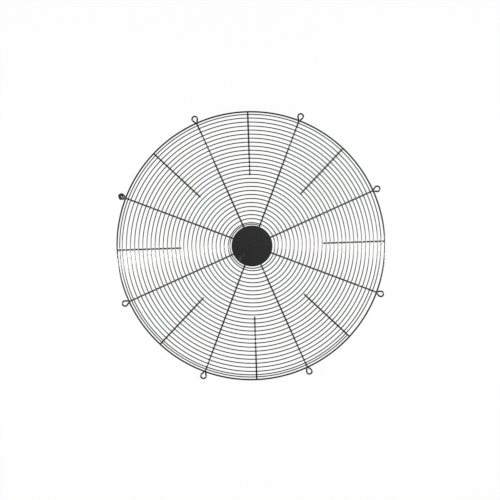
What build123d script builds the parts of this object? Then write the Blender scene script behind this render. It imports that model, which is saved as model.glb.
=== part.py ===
from build123d import *
import os
from math import acos, asin, atan2, ceil, cos, degrees, pi, radians, sin, sqrt

# Wire fan guard: one thin wire wound in a flat spiral, welded to the front of sixteen spokes, with a
# plain disc over the hub and a stout ring round the rim. Each long spoke ends in an eye for a screw.
#
# Millimetres. The guard lies on its eyes with its front up: +Z points out of the front face, the
# undersides of the eyes lie on z = 0 and the rim ring's axis is the Z axis.

# ---- Driving sizes ----------------------------------------------------------------------------------

# Wires, each given as the diameter of the round wire
RING_WIRE = 4.2
SPOKE_WIRE = 4.2
SPIRAL_WIRE = 2.7

# Rim, where the spokes step down from the face to the plane that the guard is screwed to
RING_DIAMETER = 666.0  # to the middle of the wire
SPOKES_OF_EACH_KIND = 8
RIM_SLOPE = 45.0  # degrees below the face
FACE_RISE = 10.6  # from the spokes' feet up to the face, between the middles of the wire
RIM_BEND = 4.0  # radius of the spokes' two bends
FOOT_OVERHANG = 1.0  # a short spoke's end, beyond the middle of the ring

# Eyes
EYE_BORE = 9.0
EYE_REACH = 11.5  # from the middle of the ring to the middle of the eye
EYE_NECK = 4.0  # radius at which the wire turns out of line before it loops back
EYE_MOUTH = 22.0  # degrees from the eye's inward line to the cut end of the wire

# Hub and inner ends
HUB_OFFSET = 3.2  # the star of spokes is welded in slightly off the ring's centre, towards +X
DISC_DIAMETER = 102.0
DISC_SHIFT = (-0.5, -0.8)  # from the middle of the star to the middle of the disc
DISC_THICKNESS = 1.5
LONG_SPOKE_START = 24.0  # from the middle of the hub to where the long spokes start, under the disc
SHORT_SPOKE_START = 176.0  # the same for the short spokes

# Spiral
SPIRAL_PITCH = 10.0
DISC_CLEARANCE = 0.3  # from the disc's edge to the first turn's wire, before the disc's shift
FIRST_TURN_GROWTH = 3.9
START_SPOKE = 1  # the long spoke that the wire starts on, counted anticlockwise from +X
END_SPOKE = 7  # the short spoke that it ends on
CLOSING_GAP = 6.7  # from the ring in to the closing turn, between the middles of the wires
CLOSING_STEP = 5.6  # from the closing turn in to the last turn on the face
LONGEST_LEVEL_RUN = 180.0  # degrees for which the wire may keep its radius before it steps out
RIM_CHORDS = 4  # straight runs from one short spoke to the next, where the wire steps out and after
CHORD_HEIGHT = 2.2  # by which a straight run of the wire cuts inside its curve
LONGEST_CHORD = 18.0  # degrees
WIRE_END = 2.0  # by which the wire's cut ends run past the spokes they are welded to

# Bush left in one of the eyes
BUSH_EYE = 3  # the long spoke that carries it
BUSH_BORE = 3.8
BUSH_CLEARANCE = 0.1  # all round, in the eye
BUSH_PROUD = 0.6  # above the wire of the eye

SEAT_GAP = 0.05  # between wires that are welded where they cross
SLOPE_ROOM = 0.25  # from the ring to the spokes' slope, for the bend at its foot
RING_CHORDS = 3 * 2 * SPOKES_OF_EACH_KIND

# ---- Derived sizes ----------------------------------------------------------------------------------

# Every wire is drawn with six sides and the same area as the round wire.
CORNER = sqrt(2 * pi / (3 * sqrt(3)))  # corner distance, as a multiple of the round wire's radius
FLAT = CORNER * cos(radians(30))  # the same for the flats


def corner(wire):
    """Distance from the middle of a wire to its six corners."""
    return wire / 2 * CORNER


def flat(wire):
    """Distance from the middle of a wire to its six flats."""
    return wire / 2 * FLAT


ring_radius = RING_DIAMETER / 2
slope = radians(RIM_SLOPE)
foot_height = corner(SPOKE_WIRE)
face_height = foot_height + FACE_RISE
ridge = corner(SPOKE_WIRE) + SEAT_GAP  # from the middle of a spoke up to whatever sits on it

ring_height = foot_height + ridge + flat(RING_WIRE)
spiral_height = face_height + ridge + flat(SPIRAL_WIRE)
disc_height = face_height + ridge


def slope_support(wire):
    """Reach of a wire that lies flat, from its middle towards the spokes' slope."""
    return max(corner(wire) * cos(slope - radians(a)) for a in (0, 60))


# The ring lies in the angle between each spoke's slope and its foot.
slope_foot = ring_radius + (
    (ring_height - foot_height) * cos(slope) - ridge - SLOPE_ROOM - slope_support(RING_WIRE)
) / sin(slope)
slope_top = slope_foot - FACE_RISE * cos(slope) / sin(slope)

eye_radius = EYE_BORE / 2 + flat(SPOKE_WIRE)

disc_radius = DISC_DIAMETER / 2
spiral_start_radius = disc_radius + DISC_CLEARANCE + SPIRAL_WIRE / 2
closing_radius = ring_radius - CLOSING_GAP
face_radius = closing_radius - CLOSING_STEP

spoke_step = 360 / SPOKES_OF_EACH_KIND
long_angles = [spoke_step * (k + 0.5) for k in range(SPOKES_OF_EACH_KIND)]
short_angles = [spoke_step * k for k in range(SPOKES_OF_EACH_KIND)]
UPRIGHT = (Align.CENTER, Align.CENTER, Align.MIN)


# ---- Places on the star of spokes -------------------------------------------------------------------


def polar(radius, angle, height=0.0):
    """A point at a radius and an angle in degrees round the Z axis."""
    return Vector(radius * cos(radians(angle)), radius * sin(radians(angle)), height)


def hub_to_ring(angle):
    """Distance along a spoke from the middle of the hub to the middle of the ring."""
    aside = HUB_OFFSET * sin(radians(angle))
    return sqrt(ring_radius**2 - aside**2) - HUB_OFFSET * cos(radians(angle))


def over_spoke(angle, radius):
    """Angle about the ring's axis at which a spoke's line reaches a radius."""
    return angle - degrees(asin(HUB_OFFSET * sin(radians(angle)) / radius))


def place_spoke(spoke, angle):
    """Move a spoke that is drawn along +X, with the ring at its own radius, onto its line from the hub."""
    outwards = hub_to_ring(angle) - ring_radius
    return Pos(HUB_OFFSET, 0, 0) * Rot(0, 0, angle) * Pos(outwards, 0, 0) * spoke


# ---- Wires ------------------------------------------------------------------------------------------


def wire_along(path, wire, corner_towards):
    """A wire swept along a path, mitred at its corners, with one of its six corners turned to a side."""
    start = Plane(origin=path @ 0, x_dir=corner_towards, z_dir=path % 0)
    return sweep(start * RegularPolygon(corner(wire), 6), path=path, transition=Transition.RIGHT)


def bend(centre, radius, start, turn, corners=2):
    """Corner points round a bend, on tangents to its arc, in a plane given as (x, y)."""
    step = turn / corners
    reach = radius / cos(radians(step / 2))
    angles = [radians(start + step * (k + 0.5)) for k in range(corners)]
    return [(centre[0] + reach * cos(a), centre[1] + reach * sin(a)) for a in angles]


def rim_profile(inner, outer):
    """The line of a spoke as (radius, height): along the face, down the rim's slope and along the foot."""
    tangent = RIM_BEND * sin(slope / 2) / cos(slope / 2)
    top = bend((slope_top - tangent, face_height - RIM_BEND), RIM_BEND, 90, -RIM_SLOPE)
    foot = bend((slope_foot + tangent, foot_height + RIM_BEND), RIM_BEND, -90 - RIM_SLOPE, RIM_SLOPE)
    return [(inner, face_height), *top, *foot, (outer, foot_height)]


def spoke_body(inner, outer):
    """The part of a spoke that lies in one upright plane, drawn along +X."""
    points = [(radius, 0, height) for radius, height in rim_profile(inner, outer)]
    return wire_along(Polyline(*points), SPOKE_WIRE, (0, 0, 1))


# ---- Spokes -----------------------------------------------------------------------------------------


def eye_loop():
    """The end of a long spoke: the wire turns aside, then back round the eye, and stops short of itself."""
    reach = sqrt(eye_radius**2 + 2 * eye_radius * EYE_NECK)
    middle = (ring_radius + EYE_REACH, 0)
    neck_x = middle[0] - reach
    turn = degrees(atan2(reach, EYE_NECK))
    neck = [(neck_x, 0), *bend((neck_x, EYE_NECK), EYE_NECK, -90, turn, corners=3)]
    swing = turn + 90
    loop = [
        (middle[0] + eye_radius * cos(radians(a)), eye_radius * sin(radians(a)))
        for a in (swing, (swing - 180 + EYE_MOUTH) / 2, EYE_MOUTH - 180)
    ]
    at_foot = Plane(origin=(0, 0, foot_height))
    path = at_foot * (Polyline(*neck, loop[0]) + ThreePointArc(*loop))
    return neck_x, wire_along(path, SPOKE_WIRE, (0, 0, 1))


def long_spoke(angle, eye):
    """A spoke with an eye, from under the disc to outside the ring."""
    neck_x, loop = eye
    inner = ring_radius - hub_to_ring(angle) + LONG_SPOKE_START
    return place_spoke(spoke_body(inner, neck_x) + loop, angle)


def short_spoke(angle):
    """A spoke that ends under the ring."""
    inner = ring_radius - hub_to_ring(angle) + SHORT_SPOKE_START
    return place_spoke(spoke_body(inner, ring_radius + FOOT_OVERHANG), angle)


# ---- Ring, disc and bush ----------------------------------------------------------------------------


def outer_ring():
    """The rim's ring, closed in the middle of a chord and with a corner of its outline over every spoke."""
    angles = [over_spoke(360 / RING_CHORDS * k, ring_radius) for k in range(RING_CHORDS)]
    corners = [polar(ring_radius, angle, ring_height) for angle in angles]
    seam = (corners[0] + corners[-1]) / 2
    return wire_along(Polyline(seam, *corners, close=True), RING_WIRE, (1, 0, 0))


def hub_disc():
    """The plain disc in front of the spokes' inner ends."""
    middle = Pos(HUB_OFFSET + DISC_SHIFT[0], DISC_SHIFT[1], disc_height)
    return middle * Cylinder(disc_radius, DISC_THICKNESS, align=UPRIGHT)


def eye_bush():
    """The rubber sleeve in one eye, standing on the plane that the guard is screwed to."""
    height = foot_height + corner(SPOKE_WIRE) + BUSH_PROUD
    sleeve = Cylinder(EYE_BORE / 2 - BUSH_CLEARANCE, height, align=UPRIGHT)
    bore = Cylinder(BUSH_BORE / 2, height, align=UPRIGHT)
    return place_spoke(Pos(ring_radius + EYE_REACH, 0, 0) * (sleeve - bore), long_angles[BUSH_EYE])


# ---- Spiral -----------------------------------------------------------------------------------------

first_angle = long_angles[START_SPOKE] - degrees(WIRE_END / spiral_start_radius)
full_radius = spiral_start_radius + FIRST_TURN_GROWTH
face_turns = 1 + (face_radius - full_radius) / SPIRAL_PITCH
rim_chord = spoke_step / RIM_CHORDS
step_angle = short_angles[END_SPOKE] - rim_chord
step_angle += 360 * ceil((first_angle + 360 * face_turns - step_angle) / 360)
level_run = min(step_angle - first_angle - 360 * face_turns, LONGEST_LEVEL_RUN)
pitch = (face_radius - full_radius) / ((step_angle - level_run - first_angle) / 360 - 1)
step_width = 2 * (spoke_step + rim_chord)
last_angle = step_angle + rim_chord + 360 + degrees(WIRE_END / closing_radius)


def spiral_radius(angle):
    """Radius of the wire at an angle that counts its turns."""
    turns = (angle - first_angle) / 360
    if turns < 1:
        return spiral_start_radius + FIRST_TURN_GROWTH * (1 - (1 - turns) ** 3)
    on_face = min(full_radius + pitch * (turns - 1), face_radius)
    t = min(max((angle - step_angle) / step_width, 0), 1)
    return on_face + CLOSING_STEP * t * t * (3 - 2 * t)


def spiral_drift(radius):
    """How far the middle of a turn on the face lies from the ring's axis, towards the hub."""
    way_out = (radius - spiral_start_radius) / (face_radius - spiral_start_radius)
    return HUB_OFFSET * max(1 - way_out**2, 0)


def spiral_seat(radius):
    """Height of the wire's middle where it lies on the spokes, on the face or on the slope."""
    stand_off = ridge + slope_support(SPIRAL_WIRE)
    on_slope = face_height + (stand_off - (radius - slope_top) * sin(slope)) / cos(slope)
    return min(spiral_height, on_slope)


def spiral_chord(angle):
    """Angle of the straight run that starts at an angle, so that each cuts inside by the same height."""
    if angle >= step_angle:
        return min(rim_chord, last_angle - angle)
    chord = 2 * degrees(acos(1 - CHORD_HEIGHT / spiral_radius(angle)))
    return min(chord, LONGEST_CHORD, step_angle - angle)


def spiral_points():
    """Corners of the wire's line. They lie outside the curve by half the height of a run."""
    points = []
    angle = first_angle
    while angle < last_angle:
        chord = spiral_chord(angle)
        radius = spiral_radius(angle)
        radius += radius * (1 - cos(radians(chord / 2))) / 2
        if angle < step_angle:
            middle = Vector(spiral_drift(radius), 0, 0)
            points.append(polar(radius, angle, spiral_height) + middle)
        else:
            points.append(polar(radius, over_spoke(angle, closing_radius), spiral_seat(radius)))
        angle += chord
    return points


def guard_spiral():
    """The thin wire, from beside the disc out to the turn on the rim's slope."""
    points = spiral_points()
    start = points[0]
    outwards = Vector(start.X, start.Y, 0)
    return wire_along(Polyline(*points), SPIRAL_WIRE, outwards)


# ---- Nodes ------------------------------------------------------------------------------------------

nodes = {
    "outer_ring": outer_ring(),
    "hub_disc": hub_disc(),
    "eye_bush": eye_bush(),
    "guard_spiral": guard_spiral(),
}
eye = eye_loop()
for number in range(SPOKES_OF_EACH_KIND):
    nodes[f"long_spoke_{number + 1}"] = long_spoke(long_angles[number], eye)
    nodes[f"short_spoke_{number + 1}"] = short_spoke(short_angles[number])

os.makedirs("parts", exist_ok=True)
for name, shape in nodes.items():
    export_step(shape, f"parts/{name}.step")
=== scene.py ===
import math

import bmesh
import bpy
from bpy.props import FloatProperty, FloatVectorProperty, IntProperty, PointerProperty
from bpy.types import Operator, Panel, PropertyGroup
from mathutils import Matrix, Vector


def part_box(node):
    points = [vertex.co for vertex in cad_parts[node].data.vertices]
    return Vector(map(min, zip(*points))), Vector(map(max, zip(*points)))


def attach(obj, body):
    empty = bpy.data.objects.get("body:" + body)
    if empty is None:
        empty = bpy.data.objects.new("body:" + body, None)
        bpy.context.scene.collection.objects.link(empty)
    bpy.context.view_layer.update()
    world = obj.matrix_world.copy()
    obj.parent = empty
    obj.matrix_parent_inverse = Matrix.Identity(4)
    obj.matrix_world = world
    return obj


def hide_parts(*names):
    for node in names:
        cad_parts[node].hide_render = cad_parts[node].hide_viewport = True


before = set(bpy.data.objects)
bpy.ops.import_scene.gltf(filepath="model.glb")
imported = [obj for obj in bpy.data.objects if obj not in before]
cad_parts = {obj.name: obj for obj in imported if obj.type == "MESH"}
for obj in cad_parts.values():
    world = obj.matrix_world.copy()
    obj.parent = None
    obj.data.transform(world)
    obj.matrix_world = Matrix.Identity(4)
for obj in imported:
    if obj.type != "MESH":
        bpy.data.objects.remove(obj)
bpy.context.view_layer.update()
disc_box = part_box("hub_disc")
bush_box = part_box("eye_bush")

bl_info = {
    "name": "Wire fan guard",
    "version": (1, 0, 0),
    "blender": (4, 5, 0),
    "location": "View3D > Sidebar > Fan guard",
    "description": "Makes the wires, disc, bush, welds and black finishes of a wire fan guard",
    "category": "Add Mesh",
}

# The guard has eight long spokes with eyes and eight short ones halfway between them.
SPOKES_OF_EACH_KIND = 8
SPOKE_STEP = 360 / SPOKES_OF_EACH_KIND
LONG_ANGLES = [SPOKE_STEP * (k + 0.5) for k in range(SPOKES_OF_EACH_KIND)]
SHORT_ANGLES = [SPOKE_STEP * k for k in range(SPOKES_OF_EACH_KIND)]
BUSHED_EYE = 3  # counted from nought, of the long spokes

# Steps round the turned and ringed pieces
RING_STEPS = 180
DISC_STEPS = 160
BUSH_STEPS = 48
TAIL_STEPS = 24

FLOOR_DROP = 0.0001  # keeps the floor just clear of the undersides of the eyes
SLOPE_SEAT = 0.002  # past the slope's top, from where the spiral's welds tilt with the slope

WIRE_COAT = "Black powder coat, sprayed on steel wire"

# The one scuff on the disc runs out to its edge. It has a faint track and two places rubbed harder. Each
# is given by where its middle lies from the disc's middle, its half length, half width and depth.
SCUFF_TURN = 61  # degrees from +X to the way the scuff runs
SCUFF_TRACK = ((-0.0270, -0.0280, 0), 0.0115, 0.0016, 0.14)
SCUFF_UPPER = ((-0.0223, -0.0224, 0), 0.0050, 0.0034, 0.24)
SCUFF_LOWER = ((-0.0306, -0.0312, 0), 0.0068, 0.0044, 0.32)

# The lamps: name, turn round the guard's axis in degrees and share of the light
LAMPS = [("left", 185, 1.0), ("right", -3, 0.93)]


def from_hex(code):
    """Linear colour of an sRGB hex value."""
    channels = [int(code[i : i + 2], 16) / 255 for i in (1, 3, 5)]
    return [c / 12.92 if c <= 0.04045 else ((c + 0.055) / 1.055) ** 2.4 for c in channels]


# ---- Sizes and colours ------------------------------------------------------------------------------


def length(name, description, default):
    """A length setting in metres."""
    return FloatProperty(name=name, description=description, default=default, precision=5, unit="LENGTH")


def lengths(name, description, default):
    """A setting of several lengths in metres."""
    return FloatVectorProperty(
        name=name,
        description=description,
        default=default,
        size=len(default),
        precision=5,
        unit="LENGTH",
    )


def angle(name, description, default):
    """An angle setting, given in degrees."""
    default = math.radians(default)
    return FloatProperty(name=name, description=description, default=default, unit="ROTATION")


def colour(name, description, default):
    """A colour setting, given as an sRGB hex value."""
    return FloatVectorProperty(
        name=name,
        description=description,
        default=from_hex(default),
        size=3,
        subtype="COLOR",
        min=0,
        max=1,
    )


class WireSizes(PropertyGroup):
    ring: length("Ring wire", "Thickness of the outer ring's wire", 0.0042)
    spoke: length("Spoke wire", "Thickness of the spokes' wire", 0.0042)
    spiral: length("Spiral wire", "Thickness of the spiral's wire", 0.0027)
    weld_sink: length("Weld sink", "How far a weld presses a crossing wire into the spoke", 0.0002)
    sides: IntProperty(name="Sides", description="Sides of the stout wires' section", default=12, min=6)
    thin_sides: IntProperty(name="Thin sides", description="Sides of the thin wire", default=10, min=6)


class RimSizes(PropertyGroup):
    ring_radius: length("Ring radius", "Radius of the middle of the outer ring's wire", 0.333)
    rise: length("Face rise", "Height of the face above the spokes' feet", 0.0106)
    slope: angle("Rim slope", "Slope of the spokes between the face and the feet", 45)
    slope_foot: length("Slope foot", "Radius at which the slope would meet the foot", 0.33052)
    bend: length("Rim bend", "Radius of the bends at both ends of the slope", 0.004)


class SpokeSizes(PropertyGroup):
    hub_offset: length("Hub offset", "How far the star of spokes sits from the ring's middle", 0.0032)
    long_start: length("Long start", "Distance from the hub's middle to where a long spoke starts", 0.024)
    short_start: length("Short start", "Distance from the hub's middle to where a short spoke starts", 0.176)
    overhang: length("Overhang", "How far a short spoke reaches past the ring's middle", 0.001)
    eye_reach: length("Eye reach", "Distance from the ring's wire to the middle of an eye", 0.0115)
    eye_bore: length("Eye bore", "Width of the hole in an eye", 0.009)
    eye_neck: length("Eye neck", "Radius of the bend where an eye begins", 0.004)
    eye_root: length("Eye root", "Distance inside the ring's middle where an eye's two legs meet", 0.0015)
    eye_cut: FloatProperty(
        name="Eye cut",
        description="Room between an eye's legs where the wire is cut off, in thicknesses of the wire",
        default=0.9,
    )


class SpiralSizes(PropertyGroup):
    start_radius: length("Start radius", "Radius of the spiral's inner end", 0.05265)
    start_angle: angle("Start angle", "Angle of the spiral's inner end", 65.324)
    first_growth: length("First turn", "Growth of the first turn beside the disc", 0.0039)
    pitch: length("Pitch", "Growth of every later turn", 0.010)
    face_radius: length("Face radius", "Radius at which the spiral stops growing on the face", 0.3207)
    step_angle: angle("Step angle", "Angle at which the last turn starts down the slope", 10023.75)
    step_turn: angle("Step turn", "Turn over which the spiral moves down the slope", 112.5)
    step_growth: length("Step growth", "Growth of the spiral down the slope", 0.0056)
    end_angle: angle("End angle", "Angle of the spiral's outer end", 10395.351)
    sample: angle("Sample", "Turn between two sections of the wire", 3)


class WeldSizes(PropertyGroup):
    spiral_bead: lengths("Spiral bead", "Half sizes along, across and up", (0.002565, 0.002688, 0.000918))
    spiral_drop: length("Spiral drop", "Distance from the spiral's middle down to its beads", 0.001134)
    ring_bead: lengths("Ring bead", "Half sizes along, across and up", (0.0021, 0.00231, 0.001176))
    disc_bead: lengths("Disc bead", "Half sizes along, across and up", (0.004, 0.00252, 0.00084))
    disc_places: lengths("Disc places", "Distances of the disc's welds from the hub's middle", (0.030, 0.041))


class DiscSizes(PropertyGroup):
    radius: length("Disc radius", "Radius of the hub disc", (disc_box[1].x - disc_box[0].x) / 2)
    thickness: length("Disc thickness", "Thickness of the sheet", disc_box[1].z - disc_box[0].z)
    edge: length("Edge rounding", "Rounding of the blanked edge under its coating", 0.0005)


class BushSizes(PropertyGroup):
    radius: length("Bush radius", "Outer radius of the rubber bush", (bush_box[1].x - bush_box[0].x) / 2)
    bore: length("Bush bore", "Radius of the hole at both faces of the bush", 0.0019)
    waist: length("Bush waist", "Radius of the hole at the soft lip inside the bush", 0.0011)
    tail: length("Bush tail", "Radius of the round tail that fills the neck of the eye", 0.0017)
    tail_reach: length("Tail reach", "Distance between the middles of the bush and its tail", 0.0056)
    height: length("Bush height", "Height of the bush", bush_box[1].z - bush_box[0].z)
    lip: length("Lip rounding", "Rounding of the bush's lips", 0.0005)


class Finishes(PropertyGroup):
    coating: colour("Powder coat", "Black of the powder coat", "#101012")
    coating_pale: colour("Thin powder coat", "Black of the powder coat where it is thinner", "#161618")
    dust: colour("Dust", "Fine dust held by the coating", "#6C6C6E")
    scuff: colour("Scuff", "Burnished line on the disc", "#8A8A86")
    rubber: colour("Rubber", "Black of the rubber bush", "#161616")


class StageSettings(PropertyGroup):
    floor: colour("Floor", "White of the floor", "#FAFAFA")
    floor_size: length("Floor size", "Width of the floor", 12.0)
    view_width: length("View width", "Width of the floor that the camera sees", 1.2438)
    view_x: length("View middle X", "X of the middle of the camera's view", -0.00268)
    view_y: length("View middle Y", "Y of the middle of the camera's view", -0.01061)
    view_turn: angle("View turn", "Turn of the camera about its own line of sight", -1.95)
    lens: FloatProperty(name="Lens", description="Focal length in millimetres", default=300, min=50)
    world_light: FloatProperty(name="World light", description="Light from all round", default=0.155, min=0)
    lamp_light: FloatProperty(name="Lamp light", description="Watts of the stronger lamp", default=7.5, min=0)
    lamp_width: length("Lamp width", "Width of each round lamp", 0.1)
    lamp_reach: length("Lamp reach", "Distance of each lamp from the guard's axis", 0.8)
    lamp_height: length("Lamp height", "Height of each lamp above the floor", 0.25)


class GuardSettings(PropertyGroup):
    wires: PointerProperty(type=WireSizes)
    rim: PointerProperty(type=RimSizes)
    spokes: PointerProperty(type=SpokeSizes)
    spiral: PointerProperty(type=SpiralSizes)
    welds: PointerProperty(type=WeldSizes)
    disc: PointerProperty(type=DiscSizes)
    bush: PointerProperty(type=BushSizes)
    finishes: PointerProperty(type=Finishes)
    stage: PointerProperty(type=StageSettings)


# ---- Lines of the wires -----------------------------------------------------------------------------


def polar(radius, turn, height=0.0):
    """A point at a radius and an angle in degrees round the Z axis."""
    return Vector((radius * math.cos(math.radians(turn)), radius * math.sin(math.radians(turn)), height))


def arc(middle, radius, start, turn, steps):
    """Points along an arc in a plane, from a start angle through a turn in degrees."""
    angles = [math.radians(start + turn * k / steps) for k in range(steps + 1)]
    return [(middle[0] + radius * math.cos(a), middle[1] + radius * math.sin(a)) for a in angles]


def foot_height(settings):
    """Height of the middle of a spoke's foot, which stands on the floor."""
    return settings.wires.spoke / 2


def face_height(settings):
    """Height of the middle of the spokes on the face."""
    return foot_height(settings) + settings.rim.rise


def slope_top(settings):
    """Radius at which the slope would meet the face."""
    return settings.rim.slope_foot - settings.rim.rise / math.tan(settings.rim.slope)


def ring_height(settings):
    """Height of the middle of the outer ring, which is welded onto the spokes' feet."""
    wires = settings.wires
    return foot_height(settings) + wires.spoke / 2 + wires.ring / 2 - wires.weld_sink


def disc_bottom(settings):
    """Height of the disc's underside, which is welded onto the spokes' face."""
    wires = settings.wires
    return face_height(settings) + wires.spoke / 2 - wires.weld_sink


def hub_to_ring(settings, turn):
    """Distance along a spoke from the middle of the hub to the middle of the ring."""
    offset = settings.spokes.hub_offset
    aside = offset * math.sin(math.radians(turn))
    return math.sqrt(settings.rim.ring_radius**2 - aside**2) - offset * math.cos(math.radians(turn))


def spoke_place(settings, turn):
    """Where a spoke goes that is drawn along +X, with the ring at its own radius."""
    outwards = hub_to_ring(settings, turn) - settings.rim.ring_radius
    hub = Matrix.Translation((settings.spokes.hub_offset, 0, 0))
    return hub @ Matrix.Rotation(math.radians(turn), 4, "Z") @ Matrix.Translation((outwards, 0, 0))


def rim_line(settings, inner, outer):
    """A spoke's line as (radius, height): along the face, down the slope and along the foot."""
    rim = settings.rim
    slope = math.degrees(rim.slope)
    tangent = rim.bend * math.tan(rim.slope / 2)
    top = (slope_top(settings) - tangent, face_height(settings) - rim.bend)
    foot = (rim.slope_foot + tangent, foot_height(settings) + rim.bend)
    upper_bend = arc(top, rim.bend, 90, -slope, 8)
    lower_bend = arc(foot, rim.bend, -90 - slope, slope, 8)
    return [(inner, face_height(settings)), *upper_bend, *lower_bend, (outer, foot_height(settings))]


def foot_bend_height(settings, reach):
    """Height of a spoke at a radius on the bend into its foot, or past it."""
    rim = settings.rim
    short = max(rim.slope_foot + rim.bend * math.tan(rim.slope / 2) - reach, 0)
    return foot_height(settings) + rim.bend - math.sqrt(rim.bend**2 - short**2)


def eye_line(settings):
    """The end of a long spoke in plan: a teardrop, whose two legs meet under the ring."""
    spokes = settings.spokes
    radius = spokes.eye_bore / 2 + settings.wires.spoke / 2
    root = settings.rim.ring_radius - spokes.eye_root
    reach = spokes.eye_root + spokes.eye_reach
    half = math.asin(radius / reach)
    spread = math.degrees(half)
    bend_start = root - spokes.eye_neck * math.tan(half / 2)
    neck = arc((bend_start, spokes.eye_neck), spokes.eye_neck, -90, spread, 8)
    loop = arc((root + reach, 0), radius, 90 + spread, -180 - 2 * spread, 48)
    # The wire is cut off where its second leg comes back against the first.
    cut = spokes.eye_cut * settings.wires.spoke / math.sin(2 * half)
    return [*neck, *loop, (root + cut * math.cos(half), -cut * math.sin(half))]


def long_spoke(settings, turn):
    """Points of a long spoke, from under the disc to the end of its eye."""
    place = spoke_place(settings, turn)
    eye = eye_line(settings)
    inner = settings.rim.ring_radius - hub_to_ring(settings, turn) + settings.spokes.long_start
    upright = [Vector((r, 0, z)) for r, z in rim_line(settings, inner, eye[0][0]) if r < eye[0][0]]
    level = [Vector((x, y, foot_bend_height(settings, x))) for x, y in eye]
    return [place @ point for point in upright + level]


def short_spoke(settings, turn):
    """Points of a short spoke, from the face to just past the ring."""
    place = spoke_place(settings, turn)
    ring = settings.rim.ring_radius
    inner = ring - hub_to_ring(settings, turn) + settings.spokes.short_start
    outer = ring + settings.spokes.overhang
    return [place @ Vector((r, 0, z)) for r, z in rim_line(settings, inner, outer)]


def spiral_radius(spiral, turned):
    """Radius of the spiral at an angle in degrees that counts its turns."""
    turns = (turned - math.degrees(spiral.start_angle)) / 360
    if turns < 1:
        return spiral.start_radius + spiral.first_growth * (1 - (1 - turns) ** 3)
    full = spiral.start_radius + spiral.first_growth + spiral.pitch * (turns - 1)
    t = (turned - math.degrees(spiral.step_angle)) / math.degrees(spiral.step_turn)
    t = min(max(t, 0), 1)
    return min(full, spiral.face_radius) + spiral.step_growth * t * t * (3 - 2 * t)


def spiral_line(settings):
    """Points of the spiral, lying on the spokes' face and, on its last turn, on their slope."""
    spiral = settings.spiral
    slope = settings.rim.slope
    stand_off = settings.wires.spoke / 2 + settings.wires.spiral / 2 - settings.wires.weld_sink
    growth = spiral.face_radius - spiral.start_radius
    start = math.degrees(spiral.start_angle)
    end = math.degrees(spiral.end_angle)
    steps = round((end - start) / math.degrees(spiral.sample))
    points = []
    for k in range(steps + 1):
        turned = start + (end - start) * k / steps
        radius = spiral_radius(spiral, turned)
        past_top = radius - slope_top(settings)
        on_slope = (stand_off - past_top * math.sin(slope)) / math.cos(slope)
        height = face_height(settings) + min(stand_off, on_slope)
        way_out = (radius - spiral.start_radius) / growth
        drift = settings.spokes.hub_offset * max(1 - way_out**2, 0)
        points.append(polar(radius, turned, height) + Vector((drift, 0, 0)))
    return points


# ---- Meshes -----------------------------------------------------------------------------------------


def piece_from(mesh_maker, name, material, nodes=()):
    """A smooth-shaded piece that rides on the guard's one body and stands for its CAD nodes."""
    bm = bmesh.new()
    mesh_maker(bm)
    bmesh.ops.recalc_face_normals(bm, faces=bm.faces)
    mesh = bpy.data.meshes.new(name)
    bm.to_mesh(mesh)
    bm.free()
    mesh.shade_smooth()
    mesh.materials.append(material)
    piece = bpy.data.objects.new(name, mesh)
    bpy.context.scene.collection.objects.link(piece)
    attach(piece, "root")
    if nodes:
        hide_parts(*nodes)
    return piece


def directions(points, closed):
    """Unit direction of a line at each of its points."""
    count = len(points)
    found = []
    for k in range(count):
        before = points[k - 1] if closed or k else points[0]
        after = points[(k + 1) % count] if closed or k < count - 1 else points[-1]
        found.append((after - before).normalized())
    return found


def add_wire(bm, points, radius, sides, closed=False):
    """A round wire along a line. Its cut ends are a little rounded by their coating."""
    heads = directions(points, closed)
    sections = [(p, h, 1.0) for p, h in zip(points, heads)]
    if not closed:
        # How far in from the end, and how thick the wire is there, both in radii of the wire
        rounding = [(0.0, 0.72), (0.1, 0.9), (0.28, 1.0)]
        first = [(points[0] + heads[0] * radius * d, heads[0], s) for d, s in rounding]
        last = [(points[-1] - heads[-1] * radius * d, heads[-1], s) for d, s in reversed(rounding)]
        sections = [*first, *sections[1:-1], *last]
    side = heads[0].orthogonal().normalized()
    rings = []
    for k, (middle, head, scale) in enumerate(sections):
        if k:
            side = sections[k - 1][1].rotation_difference(head) @ side
        across = head.cross(side)
        turns = [2 * math.pi * n / sides for n in range(sides)]
        ring = [middle + (side * math.cos(a) + across * math.sin(a)) * radius * scale for a in turns]
        rings.append([bm.verts.new(v) for v in ring])
    pairs = list(zip(rings, rings[1:]))
    if closed:
        pairs.append((rings[-1], rings[0]))
    for near, far in pairs:
        for n in range(sides):
            m = (n + 1) % sides
            bm.faces.new((near[n], near[m], far[m], far[n]))
    if not closed:
        bm.faces.new(rings[0])
        bm.faces.new(rings[-1])


def add_turned(bm, middle, outline, steps):
    """A solid turned about an upright axis. Its (radius, height) outline closes, or ends on the axis."""
    rings = []
    for k in range(steps):
        a = 2 * math.pi * k / steps
        ring = [middle + Vector((r * math.cos(a), r * math.sin(a), z)) for r, z in outline]
        rings.append([bm.verts.new(v) for v in ring])
    count = len(outline)
    on_axis = outline[0][0] == 0
    for k in range(steps):
        near, far = rings[k], rings[(k + 1) % steps]
        for n in range(count - 1 if on_axis else count):
            m = (n + 1) % count
            bm.faces.new((near[n], near[m], far[m], far[n]))
    if on_axis:
        bmesh.ops.remove_doubles(bm, verts=bm.verts, dist=1e-7)


def add_bead(bm, middle, along, up, size):
    """A bead of weld metal, lying along a spoke, with its half sizes along, across and up."""
    across = up.cross(along).normalized()
    axes = Matrix((along, across, up)).transposed().to_4x4()
    place = Matrix.Translation(middle) @ axes @ Matrix.Diagonal((*size, 1))
    bmesh.ops.create_icosphere(bm, subdivisions=2, radius=1, matrix=place)


# ---- Finishes ---------------------------------------------------------------------------------------


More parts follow.
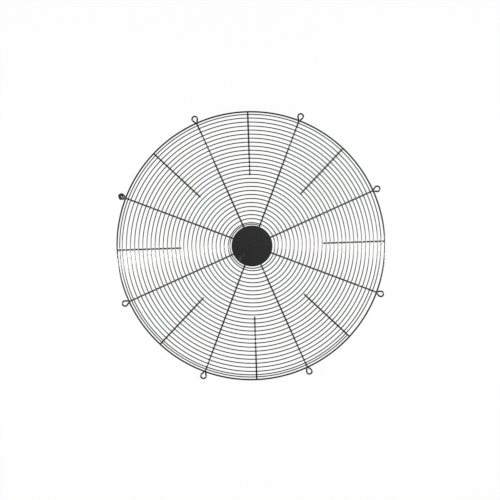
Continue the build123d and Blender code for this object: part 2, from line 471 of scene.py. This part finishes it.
def add_node(tree, kind, inputs=None, **settings):
    """Add a node, set it up, and fill its inputs with values or with links given as (node, output)."""
    node = tree.nodes.new(kind)
    for key, value in settings.items():
        setattr(node, key, value)
    for key, value in (inputs or {}).items():
        if isinstance(value, tuple) and isinstance(value[0], bpy.types.Node):
            tree.links.new(value[0].outputs[value[1]], node.inputs[key])
        else:
            node.inputs[key].default_value = value
    return node


def new_material(name):
    """An empty node material and its tree."""
    material = bpy.data.materials.new(name)
    material.use_nodes = True
    material.node_tree.nodes.clear()
    return material, material.node_tree


def opaque(colour_value):
    """A colour with full alpha."""
    return (*colour_value, 1.0)


def coat_nodes(tree, finishes, roughness):
    """Shared nodes of the powder coat: place, mottled black, roughness and orange-peel bump."""
    place = add_node(tree, "ShaderNodeTexCoord")
    # The film is a little thinner here and there, over patches about 60 mm across.
    patches = add_node(
        tree, "ShaderNodeTexNoise", {"Vector": (place, "Object"), "Scale": 1 / 0.06, "Detail": 3.0}
    )
    black = add_node(
        tree,
        "ShaderNodeMix",
        {0: (patches, "Fac"), "A": opaque(finishes.coating), "B": opaque(finishes.coating_pale)},
        data_type="RGBA",
    )
    # Fine grit in the cured powder, about 1.5 mm apart, makes the sheen uneven.
    grit = add_node(
        tree, "ShaderNodeTexNoise", {"Vector": (place, "Object"), "Scale": 1 / 0.0015, "Detail": 2.0}
    )
    sheen = add_node(
        tree,
        "ShaderNodeMapRange",
        {"Value": (grit, "Fac"), "To Min": roughness - 0.06, "To Max": roughness + 0.06},
    )
    # Orange peel of sprayed powder: shallow dimples about 1.2 mm apart.
    peel = add_node(
        tree,
        "ShaderNodeTexVoronoi",
        {"Vector": (place, "Object"), "Scale": 1 / 0.0012, "Smoothness": 1.0},
        feature="SMOOTH_F1",
    )
    bump = add_node(
        tree, "ShaderNodeBump", {"Height": (peel, "Distance"), "Strength": 0.35, "Distance": 0.00006}
    )
    return place, black, sheen, bump


def powder_coated_wire(finishes):
    """Black polyester powder coat, sprayed on steel wire and baked: satin, with faint orange peel."""
    material, tree = new_material(WIRE_COAT)
    place, black, sheen, bump = coat_nodes(tree, finishes, 0.32)
    # Dust settles on the upper side of the wires.
    facing = add_node(tree, "ShaderNodeNewGeometry")
    upright = add_node(tree, "ShaderNodeSeparateXYZ", {"Vector": (facing, "Normal")})
    settled = add_node(
        tree,
        "ShaderNodeMapRange",
        {"Value": (upright, "Z"), "From Min": 0.3, "To Min": 0.0, "To Max": 0.06},
    )
    dusted = add_node(
        tree,
        "ShaderNodeMix",
        {0: (settled, "Result"), "A": (black, 2), "B": opaque(finishes.dust)},
        data_type="RGBA",
    )
    # On the wires' curve the resin draws out to a smoother skin, which shines a little over the black.
    skin = add_node(
        tree,
        "ShaderNodeBsdfPrincipled",
        {
            "Base Color": (dusted, 2),
            "Roughness": (sheen, "Result"),
            "Normal": (bump, "Normal"),
            "IOR": 1.55,
            "Coat Weight": 0.9,
            "Coat Roughness": 0.25,
        },
    )
    add_node(tree, "ShaderNodeOutputMaterial", {"Surface": (skin, "BSDF")})
    return material


def scuff_mark(tree, place, disc_middle, mark):
    """How much a rubbed mark shows: deepest at its middle, and gone at its edge."""
    middle, half_length, half_width, depth = mark
    turned = add_node(
        tree,
        "ShaderNodeMapping",
        {
            "Vector": (place, "Object"),
            "Location": disc_middle + Vector(middle),
            "Rotation": (0, 0, math.radians(SCUFF_TURN)),
            "Scale": (half_length, half_width, 1.0),
        },
        vector_type="TEXTURE",
    )
    spread = add_node(
        tree, "ShaderNodeTexGradient", {"Vector": (turned, "Vector")}, gradient_type="SPHERICAL"
    )
    return add_node(tree, "ShaderNodeMath", {0: (spread, "Fac"), 1: depth}, operation="MULTIPLY")


def powder_coated_sheet(finishes, disc_middle):
    """The same powder coat on blanked sheet steel: flatter and more matt, with dust and one scuff."""
    material, tree = new_material("Black powder coat, sprayed on sheet steel")
    place, black, sheen, bump = coat_nodes(tree, finishes, 0.48)
    # A film of dust greys the flat sheet, a little more towards the corner between +X and +Y.
    towards = add_node(
        tree,
        "ShaderNodeVectorMath",
        {0: (place, "Object"), 1: (0.707, 0.707, 0.0)},
        operation="DOT_PRODUCT",
    )
    film = add_node(
        tree,
        "ShaderNodeMapRange",
        {
            "Value": (towards, "Value"),
            "From Min": -0.045,
            "From Max": 0.055,
            "To Min": 0.082,
            "To Max": 0.16,
        },
    )
    # It has settled in clumps about 6 mm apart.
    clumps = add_node(
        tree, "ShaderNodeTexNoise", {"Vector": (place, "Object"), "Scale": 1 / 0.006, "Detail": 3.0}
    )
    uneven = add_node(
        tree, "ShaderNodeMapRange", {"Value": (clumps, "Fac"), "To Min": 0.4, "To Max": 1.6}
    )
    settled = add_node(
        tree, "ShaderNodeMath", {0: (film, "Result"), 1: (uneven, "Result")}, operation="MULTIPLY"
    )
    dusted = add_node(
        tree,
        "ShaderNodeMix",
        {0: (settled, "Value"), "A": (black, 2), "B": opaque(finishes.dust)},
        data_type="RGBA",
    )
    # Where the scuff has burnished the coat, it is paler.
    track = scuff_mark(tree, place, disc_middle, SCUFF_TRACK)
    upper = scuff_mark(tree, place, disc_middle, SCUFF_UPPER)
    lower = scuff_mark(tree, place, disc_middle, SCUFF_LOWER)
    harder = add_node(
        tree, "ShaderNodeMath", {0: (upper, "Value"), 1: (lower, "Value")}, operation="MAXIMUM"
    )
    worn = add_node(
        tree, "ShaderNodeMath", {0: (track, "Value"), 1: (harder, "Value")}, operation="MAXIMUM"
    )
    scuffed = add_node(
        tree,
        "ShaderNodeMix",
        {0: (worn, "Value"), "A": (dusted, 2), "B": opaque(finishes.scuff)},
        data_type="RGBA",
    )
    skin = add_node(
        tree,
        "ShaderNodeBsdfPrincipled",
        {
            "Base Color": (scuffed, 2),
            "Roughness": (sheen, "Result"),
            "Normal": (bump, "Normal"),
            "IOR": 1.5,
        },
    )
    add_node(tree, "ShaderNodeOutputMaterial", {"Surface": (skin, "BSDF")})
    return material


def moulded_rubber(finishes):
    """Black EPDM rubber, moulded: matt, with a fine bloom that greys it unevenly."""
    material, tree = new_material("Black EPDM rubber, moulded")
    place = add_node(tree, "ShaderNodeTexCoord")
    # Bloom lies in patches about 2 mm across.
    bloom = add_node(
        tree, "ShaderNodeTexNoise", {"Vector": (place, "Object"), "Scale": 1 / 0.002, "Detail": 4.0}
    )
    spread = add_node(tree, "ShaderNodeMapRange", {"Value": (bloom, "Fac"), "To Min": 0.0, "To Max": 0.1})
    tint = add_node(
        tree,
        "ShaderNodeMix",
        {0: (spread, "Result"), "A": opaque(finishes.rubber), "B": opaque(finishes.dust)},
        data_type="RGBA",
    )
    # The mould's spark-eroded texture has a grain of about 0.3 mm.
    grain = add_node(
        tree, "ShaderNodeTexNoise", {"Vector": (place, "Object"), "Scale": 1 / 0.0003, "Detail": 2.0}
    )
    bump = add_node(
        tree, "ShaderNodeBump", {"Height": (grain, "Fac"), "Strength": 0.3, "Distance": 0.00004}
    )
    skin = add_node(
        tree,
        "ShaderNodeBsdfPrincipled",
        {"Base Color": (tint, 2), "Roughness": 0.75, "Normal": (bump, "Normal"), "IOR": 1.5},
    )
    add_node(tree, "ShaderNodeOutputMaterial", {"Surface": (skin, "BSDF")})
    return material


def seen_white(tree):
    """One for rays that the camera sees straight, in gloss or through glass, and nought for the rest."""
    path = add_node(tree, "ShaderNodeLightPath")
    gloss = add_node(
        tree,
        "ShaderNodeMath",
        {0: (path, "Is Camera Ray"), 1: (path, "Is Glossy Ray")},
        operation="MAXIMUM",
    )
    return add_node(
        tree,
        "ShaderNodeMath",
        {0: (gloss, "Value"), 1: (path, "Is Transmission Ray")},
        operation="MAXIMUM",
    )


def white_floor(stage):
    """Matt white paper. It looks white to the camera and in gloss, with a faint soft shadow."""
    material, tree = new_material("Matt white paper, rolled out")
    # The paper isn't quite even. It has faint waves, 48 mm apart; the noise counts them over its width.
    waves = add_node(tree, "ShaderNodeTexNoise", {"Scale": stage.floor_size / 0.048, "Detail": 2.0})
    bump = add_node(
        tree, "ShaderNodeBump", {"Height": (waves, "Fac"), "Strength": 0.1, "Distance": 0.0001}
    )
    paper = add_node(
        tree, "ShaderNodeBsdfDiffuse", {"Color": opaque(stage.floor), "Normal": (bump, "Normal")}
    )
    glow = add_node(tree, "ShaderNodeEmission", {"Color": (1, 1, 1, 1), "Strength": 1.0})
    seen = seen_white(tree)
    share = add_node(tree, "ShaderNodeMath", {0: (seen, "Value"), 1: 0.975}, operation="MULTIPLY")
    mixed = add_node(
        tree,
        "ShaderNodeMixShader",
        {0: (share, "Value"), 1: (paper, "BSDF"), 2: (glow, "Emission")},
    )
    add_node(tree, "ShaderNodeOutputMaterial", {"Surface": (mixed, "Shader")})
    return material


def wire_finish(settings):
    """The wires' powder coat, made once."""
    found = bpy.data.materials.get(WIRE_COAT)
    return found or powder_coated_wire(settings.finishes)


# ---- Operators --------------------------------------------------------------------------------------


class FAN_GUARD_OT_outer_ring(Operator):
    """Make the outer ring"""

    bl_idname = "fan_guard.outer_ring"
    bl_label = "Outer ring"

    def execute(self, context):
        settings = context.scene.fan_guard
        radius, height = settings.rim.ring_radius, ring_height(settings)
        points = [polar(radius, 360 / RING_STEPS * k, height) for k in range(RING_STEPS)]
        piece_from(
            lambda bm: add_wire(bm, points, settings.wires.ring / 2, settings.wires.sides, closed=True),
            "outer_ring_wire",
            wire_finish(settings),
            ["outer_ring"],
        )
        return {"FINISHED"}


class FAN_GUARD_OT_spiral(Operator):
    """Make the spiral of thin wire that fills the guard's face"""

    bl_idname = "fan_guard.spiral"
    bl_label = "Spiral"

    def execute(self, context):
        settings = context.scene.fan_guard
        points = spiral_line(settings)
        piece_from(
            lambda bm: add_wire(bm, points, settings.wires.spiral / 2, settings.wires.thin_sides),
            "guard_spiral_wire",
            wire_finish(settings),
            ["guard_spiral"],
        )
        return {"FINISHED"}


class FAN_GUARD_OT_long_spokes(Operator):
    """Make the eight long spokes with their eyes"""

    bl_idname = "fan_guard.long_spokes"
    bl_label = "Long spokes"

    def execute(self, context):
        settings = context.scene.fan_guard
        make_spokes(settings, "long_spoke", [long_spoke(settings, turn) for turn in LONG_ANGLES])
        return {"FINISHED"}


class FAN_GUARD_OT_short_spokes(Operator):
    """Make the eight short spokes"""

    bl_idname = "fan_guard.short_spokes"
    bl_label = "Short spokes"

    def execute(self, context):
        settings = context.scene.fan_guard
        make_spokes(settings, "short_spoke", [short_spoke(settings, turn) for turn in SHORT_ANGLES])
        return {"FINISHED"}


def make_spokes(settings, kind, lines):
    """One piece for each spoke of a kind."""
    for number, points in enumerate(lines, start=1):
        piece_from(
            lambda bm: add_wire(bm, points, settings.wires.spoke / 2, settings.wires.sides),
            f"{kind}_wire_{number}",
            wire_finish(settings),
            [f"{kind}_{number}"],
        )


def crossings(settings):
    """Where the spiral crosses the spokes: the spiral's middle, the spoke's direction and its facing."""
    points = spiral_line(settings)
    slope = settings.rim.slope
    starts = [(turn, settings.spokes.long_start) for turn in LONG_ANGLES]
    starts += [(turn, settings.spokes.short_start) for turn in SHORT_ANGLES]
    found = []
    for turn, start in starts:
        place = spoke_place(settings, turn)
        inner = settings.rim.ring_radius - hub_to_ring(settings, turn) + start
        to_spoke = place.inverted()
        turned = place.to_3x3()
        local = [to_spoke @ point for point in points]
        for a, b in zip(local, local[1:]):
            if a.x < inner or a.y * b.y > 0 or a.y == b.y:
                continue
            middle = a.lerp(b, a.y / (a.y - b.y))
            tilt = slope if middle.x > slope_top(settings) + SLOPE_SEAT else 0.0
            along = turned @ Vector((math.cos(tilt), 0, -math.sin(tilt)))
            up = turned @ Vector((math.sin(tilt), 0, math.cos(tilt)))
            found.append((place @ middle, along, up))
    return found


class FAN_GUARD_OT_welds(Operator):
    """Make the beads of weld metal under the spiral, the ring and the disc"""

    bl_idname = "fan_guard.welds"
    bl_label = "Welds"

    def execute(self, context):
        settings = context.scene.fan_guard
        finish = wire_finish(settings)
        piece_from(lambda bm: self.spiral_beads(bm, settings), "spiral_welds", finish)
        piece_from(lambda bm: self.ring_beads(bm, settings), "ring_welds", finish)
        piece_from(lambda bm: self.disc_beads(bm, settings), "disc_welds", finish)
        return {"FINISHED"}

    def spiral_beads(self, bm, settings):
        welds = settings.welds
        for middle, along, up in crossings(settings):
            add_bead(bm, middle - up * welds.spiral_drop, along, up, welds.spiral_bead)

    def ring_beads(self, bm, settings):
        size = settings.welds.ring_bead
        height = foot_height(settings) + settings.wires.spoke / 2
        for turn in LONG_ANGLES + SHORT_ANGLES:
            place = spoke_place(settings, turn)
            middle = place @ Vector((settings.rim.ring_radius, 0, height))
            add_bead(bm, middle, place.to_3x3() @ Vector((1, 0, 0)), Vector((0, 0, 1)), size)

    def disc_beads(self, bm, settings):
        size = settings.welds.disc_bead
        height = disc_bottom(settings)
        for turn in LONG_ANGLES:
            place = spoke_place(settings, turn)
            for radius in settings.welds.disc_places:
                middle = place @ Vector((radius, 0, height))
                add_bead(bm, middle, place.to_3x3() @ Vector((1, 0, 0)), Vector((0, 0, 1)), size)


class FAN_GUARD_OT_hub_disc(Operator):
    """Make the blanked disc in front of the hub"""

    bl_idname = "fan_guard.hub_disc"
    bl_label = "Hub disc"

    def execute(self, context):
        settings = context.scene.fan_guard
        disc = settings.disc
        low, high = disc_box
        middle = Vector(((low.x + high.x) / 2, (low.y + high.y) / 2, disc_bottom(settings)))
        top_edge = arc((disc.radius - disc.edge, disc.thickness - disc.edge), disc.edge, 0, 90, 6)
        low_edge = arc((disc.radius - disc.edge / 2, disc.edge / 2), disc.edge / 2, -90, 90, 4)
        flats = [disc.radius * part for part in (0, 0.3, 0.6, 0.8, 0.96)]
        outline = [(r, 0.0) for r in flats] + low_edge + top_edge
        outline += [(r, disc.thickness) for r in reversed(flats)]
        piece_from(
            lambda bm: add_turned(bm, middle, outline, DISC_STEPS),
            "hub_disc_sheet",
            powder_coated_sheet(settings.finishes, middle),
            ["hub_disc"],
        )
        return {"FINISHED"}


class FAN_GUARD_OT_eye_bush(Operator):
    """Make the rubber bush in one of the eyes"""

    bl_idname = "fan_guard.eye_bush"
    bl_label = "Eye bush"

    def execute(self, context):
        settings = context.scene.fan_guard
        bush = settings.bush
        low, high = bush_box
        middle = Vector(((low.x + high.x) / 2, (low.y + high.y) / 2, low.z))
        outline = [
            *arc((bush.radius - bush.lip, bush.lip), bush.lip, -90, 90, 4),
            *arc((bush.radius - bush.lip, bush.height - bush.lip), bush.lip, 0, 90, 4),
            *arc((bush.bore + bush.lip, bush.height - bush.lip), bush.lip, 90, 90, 4),
            *arc((bush.waist + bush.lip, bush.height / 2), bush.lip, 120, 120, 6),
            *arc((bush.bore + bush.lip, bush.lip), bush.lip, 180, 90, 4),
        ]
        towards_hub = spoke_place(settings, LONG_ANGLES[BUSHED_EYE]).to_3x3() @ Vector((-1, 0, 0))
        tail_middle = middle + towards_hub * bush.tail_reach
        top = bush.height - bush.lip
        tail_edge = arc((bush.tail - bush.lip, top - bush.lip), bush.lip, 0, 90, 4)
        tail = [(0, 0), (bush.tail, 0), *tail_edge, (0, top)]

        def sleeve_and_tail(bm):
            add_turned(bm, tail_middle, tail, TAIL_STEPS)
            add_turned(bm, middle, outline, BUSH_STEPS)

        piece_from(
            sleeve_and_tail,
            "eye_bush_sleeve",
            moulded_rubber(settings.finishes),
            ["eye_bush"],
        )
        return {"FINISHED"}


class FAN_GUARD_OT_stage(Operator):
    """Make the floor, the lamps, the world and the camera"""

    bl_idname = "fan_guard.stage"
    bl_label = "Stage"

    def execute(self, context):
        stage = context.scene.fan_guard.stage
        self.make_floor(stage)
        self.make_world(stage)
        self.make_lamps(stage)
        self.make_camera(stage)
        context.scene.view_settings.view_transform = "Standard"
        return {"FINISHED"}

    def make_floor(self, stage):
        half = stage.floor_size / 2
        plan = [(-half, -half), (half, -half), (half, half), (-half, half)]
        mesh = bpy.data.meshes.new("floor")
        mesh.from_pydata([(x, y, -FLOOR_DROP) for x, y in plan], [], [(0, 1, 2, 3)])
        mesh.materials.append(white_floor(stage))
        floor = bpy.data.objects.new("floor", mesh)
        bpy.context.scene.collection.objects.link(floor)

    def make_world(self, stage):
        world = bpy.data.worlds.new("white studio")
        bpy.context.scene.world = world
        world.use_nodes = True
        tree = world.node_tree
        tree.nodes.clear()
        light = add_node(tree, "ShaderNodeBackground", {"Strength": stage.world_light})
        white = add_node(tree, "ShaderNodeBackground", {"Color": (1, 1, 1, 1), "Strength": 1.0})
        path = add_node(tree, "ShaderNodeLightPath")
        mixed = add_node(
            tree,
            "ShaderNodeMixShader",
            {0: (path, "Is Camera Ray"), 1: (light, "Background"), 2: (white, "Background")},
        )
        add_node(tree, "ShaderNodeOutputWorld", {"Surface": (mixed, "Shader")})

    def make_lamps(self, stage):
        # One small lamp stands low on each side, so that the wires which face it catch a highlight.
        for name, turn, share in LAMPS:
            data = bpy.data.lights.new(f"lamp_{name}", "AREA")
            data.shape = "DISK"
            data.size = stage.lamp_width
            data.energy = stage.lamp_light * share
            lamp = bpy.data.objects.new(f"lamp_{name}", data)
            lamp.location = polar(stage.lamp_reach, turn, stage.lamp_height)
            lamp.rotation_euler = (-lamp.location).to_track_quat("-Z", "Y").to_euler()
            bpy.context.scene.collection.objects.link(lamp)

    def make_camera(self, stage):
        data = bpy.data.cameras.new("camera")
        data.lens = stage.lens
        data.clip_end = 100
        camera = bpy.data.objects.new("camera", data)
        distance = stage.view_width * data.lens / data.sensor_width
        camera.location = (stage.view_x, stage.view_y, distance)
        camera.rotation_euler = (0, 0, stage.view_turn)
        bpy.context.scene.collection.objects.link(camera)
        bpy.context.scene.camera = camera


class FAN_GUARD_PT_sidebar(Panel):
    """The guard's operators, sizes and finishes"""

    bl_idname = "FAN_GUARD_PT_sidebar"
    bl_label = "Wire fan guard"
    bl_space_type = "VIEW_3D"
    bl_region_type = "UI"
    bl_category = "Fan guard"

    def draw(self, context):
        for operator in OPERATORS:
            self.layout.operator(operator.bl_idname)
        settings = context.scene.fan_guard
        for group_name in GuardSettings.__annotations__:
            group = getattr(settings, group_name)
            box = self.layout.box()
            box.label(text=group_name.title())
            for name in type(group).__annotations__:
                box.prop(group, name)


OPERATORS = [
    FAN_GUARD_OT_outer_ring,
    FAN_GUARD_OT_spiral,
    FAN_GUARD_OT_long_spokes,
    FAN_GUARD_OT_short_spokes,
    FAN_GUARD_OT_welds,
    FAN_GUARD_OT_hub_disc,
    FAN_GUARD_OT_eye_bush,
    FAN_GUARD_OT_stage,
]

CLASSES = [
    WireSizes,
    RimSizes,
    SpokeSizes,
    SpiralSizes,
    WeldSizes,
    DiscSizes,
    BushSizes,
    Finishes,
    StageSettings,
    GuardSettings,
    *OPERATORS,
    FAN_GUARD_PT_sidebar,
]


def register():
    for cls in CLASSES:
        bpy.utils.register_class(cls)
    bpy.types.Scene.fan_guard = PointerProperty(type=GuardSettings)


def unregister():
    del bpy.types.Scene.fan_guard
    for cls in reversed(CLASSES):
        bpy.utils.unregister_class(cls)


def main():
    register()
    bpy.ops.fan_guard.outer_ring()
    bpy.ops.fan_guard.spiral()
    bpy.ops.fan_guard.long_spokes()
    bpy.ops.fan_guard.short_spokes()
    bpy.ops.fan_guard.welds()
    bpy.ops.fan_guard.hub_disc()
    bpy.ops.fan_guard.eye_bush()
    bpy.ops.fan_guard.stage()


if __name__ == "__main__":
    main()
